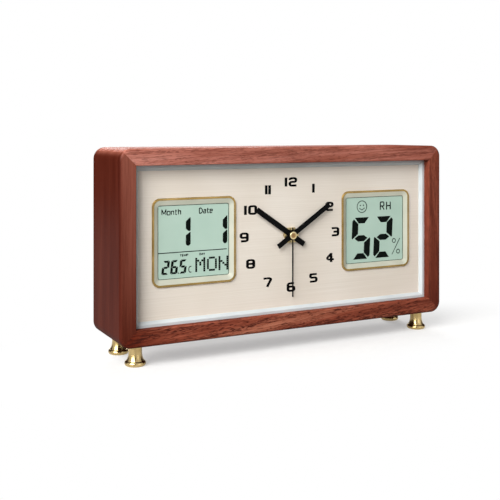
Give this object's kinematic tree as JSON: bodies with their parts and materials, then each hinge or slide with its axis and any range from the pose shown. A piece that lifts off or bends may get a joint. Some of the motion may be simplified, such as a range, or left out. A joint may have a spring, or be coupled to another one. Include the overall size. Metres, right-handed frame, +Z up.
{
  "type": "table clock",
  "caption": "Wide wooden table clock on turned metal feet, with analogue hands between a calendar display and a humidity display, a recessed back and a quartz movement.",
  "frame": {"origin": "middle of the case in plan, on the plane that the feet stand on", "axes": "+X to the right as seen from the front, +Y to the back, +Z up"},
  "size_m": [0.321, 0.071, 0.176],
  "materials": {
    "stained_oak": "open grain, satin lacquer",
    "softwood_block": "sawn",
    "turned_brass": "polished",
    "insert_brass": "machined",
    "white_plastic": "moulded, satin",
    "cream_dial": "brushed foil, satin",
    "gold_plating": "plated, polished",
    "display_glass": "clear, over a reflector",
    "contact_rubber": "moulded",
    "circuit_laminate": "solder mask, semi gloss",
    "module_plastic": "moulded, fine texture",
    "screw_steel": "zinc plated",
    "cell_steel": "nickel plated",
    "door_plastic": "moulded, fine texture",
    "button_plastic": "moulded, satin",
    "switch_plastic": "moulded",
    "sensor_plastic": "moulded",
    "hardboard": "smooth hardboard, dark brown",
    "movement_plastic": "moulded, satin",
    "plate_plastic": "moulded",
    "gear_plastic": "moulded, satin",
    "red_gear_plastic": "moulded, satin",
    "knob_plastic": "moulded, knurled",
    "hand_black": "matt black paint",
    "motor_steel": "stamped",
    "magnet": "sintered",
    "coil_wire": "enamelled copper wire",
    "battery_jacket": "printed sleeve, gloss",
    "contact_nickel": "nickel plated spring steel"
  },
  "bodies": {
    "case": {"top_board": "stained_oak", "bottom_board": "stained_oak", "left_board": "stained_oak", "right_board": "stained_oak", "corner_blocks": "softwood_block", "foot_inserts": "insert_brass", "foot_front_left": "turned_brass", "foot_front_right": "turned_brass", "foot_rear_left": "turned_brass", "foot_rear_right": "turned_brass", "white_liner": "white_plastic", "dial_plate": "cream_dial", "calendar_bezel": "gold_plating", "humidity_bezel": "gold_plating", "calendar_lcd": "display_glass", "humidity_lcd": "display_glass", "calendar_contact_strips": "contact_rubber", "humidity_contact_strips": "contact_rubber", "calendar_circuit_board": "circuit_laminate", "humidity_circuit_board": "circuit_laminate", "calendar_housing": "module_plastic", "humidity_housing": "module_plastic", "calendar_screws": "screw_steel", "humidity_screws": "screw_steel", "calendar_coin_cell": "cell_steel", "humidity_coin_cell": "cell_steel", "calendar_switches": "switch_plastic", "humidity_sensor": "sensor_plastic", "rear_panel": "hardboard", "rear_panel_screws": "screw_steel", "movement_front_shell": "movement_plastic", "movement_middle_plate": "plate_plastic", "movement_rear_cover": "movement_plastic", "bush_washer": "contact_rubber", "bush_nut": "turned_brass", "stator": "motor_steel", "coil": "coil_wire", "movement_circuit_board": "circuit_laminate", "quartz_crystal": "cell_steel", "aa_battery": "battery_jacket", "battery_plus_contact": "contact_nickel", "battery_minus_contact": "contact_nickel"},
    "minute": {"minute_hand": "hand_black", "cannon_pinion": "gear_plastic"},
    "hour": {"hour_hand": "hand_black", "hour_wheel": "gear_plastic"},
    "minute_wheel": {"minute_wheel": "gear_plastic"},
    "setting_knob": {"setting_knob": "knob_plastic"},
    "second": {"second_hand": "hand_black", "second_hand_cap": "turned_brass", "seconds_wheel": "gear_plastic"},
    "third_wheel": {"third_wheel": "gear_plastic"},
    "centre_wheel": {"centre_wheel": "gear_plastic"},
    "fifth_wheel": {"fifth_wheel": "gear_plastic"},
    "rotor": {"rotor": "magnet"},
    "up_button": {"up_button": "button_plastic"},
    "mode_button": {"mode_button": "button_plastic"},
    "down_button": {"down_button": "button_plastic"},
    "calendar_cell_door": {"calendar_cell_door": "door_plastic"},
    "humidity_cell_door": {"humidity_cell_door": "door_plastic"}
  },
  "joints": [
    {"name": "minute_turn", "type": "hinge", "parent": "case", "child": "minute", "pos_m": [0, -0.0155, 0.0982], "axis": [0, 1, 0], "continuous": true},
    {"name": "hour_turn", "type": "hinge", "parent": "case", "child": "hour", "pos_m": [0, -0.0155, 0.0982], "axis": [0, 1, 0], "continuous": true},
    {"name": "minute_wheel_turn", "type": "hinge", "parent": "case", "child": "minute_wheel", "pos_m": [-0.00167, -0.0155, 0.10765], "axis": [0, 1, 0], "continuous": true},
    {"name": "setting_knob_turn", "type": "hinge", "parent": "case", "child": "setting_knob", "pos_m": [-0.00998, -0.0155, 0.11245], "axis": [0, 1, 0], "continuous": true},
    {"name": "second_turn", "type": "hinge", "parent": "case", "child": "second", "pos_m": [0, -0.0155, 0.0982], "axis": [0, 1, 0], "continuous": true},
    {"name": "third_wheel_turn", "type": "hinge", "parent": "case", "child": "third_wheel", "pos_m": [-0.00799, -0.0155, 0.10111], "axis": [0, 1, 0], "continuous": true},
    {"name": "centre_wheel_turn", "type": "hinge", "parent": "case", "child": "centre_wheel", "pos_m": [0, -0.0155, 0.0982], "axis": [0, 1, 0], "continuous": true},
    {"name": "fifth_wheel_turn", "type": "hinge", "parent": "case", "child": "fifth_wheel", "pos_m": [0.00846, -0.0155, 0.10128], "axis": [0, 1, 0], "continuous": true},
    {"name": "rotor_turn", "type": "hinge", "parent": "case", "child": "rotor", "pos_m": [0.01027, -0.0155, 0.10804], "axis": [0, 1, 0], "continuous": true},
    {"name": "up_press", "type": "slide", "parent": "case", "child": "up_button", "axis": [0, -1, 0], "range_m": [0, 0.0006], "stiffness_N_per_m": 1500},
    {"name": "mode_press", "type": "slide", "parent": "case", "child": "mode_button", "axis": [0, -1, 0], "range_m": [0, 0.0006], "stiffness_N_per_m": 1500},
    {"name": "down_press", "type": "slide", "parent": "case", "child": "down_button", "axis": [0, -1, 0], "range_m": [0, 0.0006], "stiffness_N_per_m": 1500},
    {"name": "calendar_door_turn", "type": "hinge", "parent": "case", "child": "calendar_cell_door", "pos_m": [-0.092, -0.0075, 0.1062], "axis": [0, 1, 0], "range_deg": [0, 45]},
    {"name": "humidity_door_turn", "type": "hinge", "parent": "case", "child": "humidity_cell_door", "pos_m": [0.092, -0.0075, 0.1062], "axis": [0, 1, 0], "range_deg": [0, 45]}
  ],
  "couplings": [
    {"joint": "hour_turn", "follows": "minute_turn", "ratio": 0.083333},
    {"joint": "minute_wheel_turn", "follows": "minute_turn", "ratio": -0.33333},
    {"joint": "setting_knob_turn", "follows": "minute_turn", "ratio": 1},
    {"joint": "third_wheel_turn", "follows": "second_turn", "ratio": -0.13333},
    {"joint": "centre_wheel_turn", "follows": "second_turn", "ratio": 0.016667},
    {"joint": "fifth_wheel_turn", "follows": "second_turn", "ratio": -5},
    {"joint": "rotor_turn", "follows": "second_turn", "ratio": 30}
  ]
}
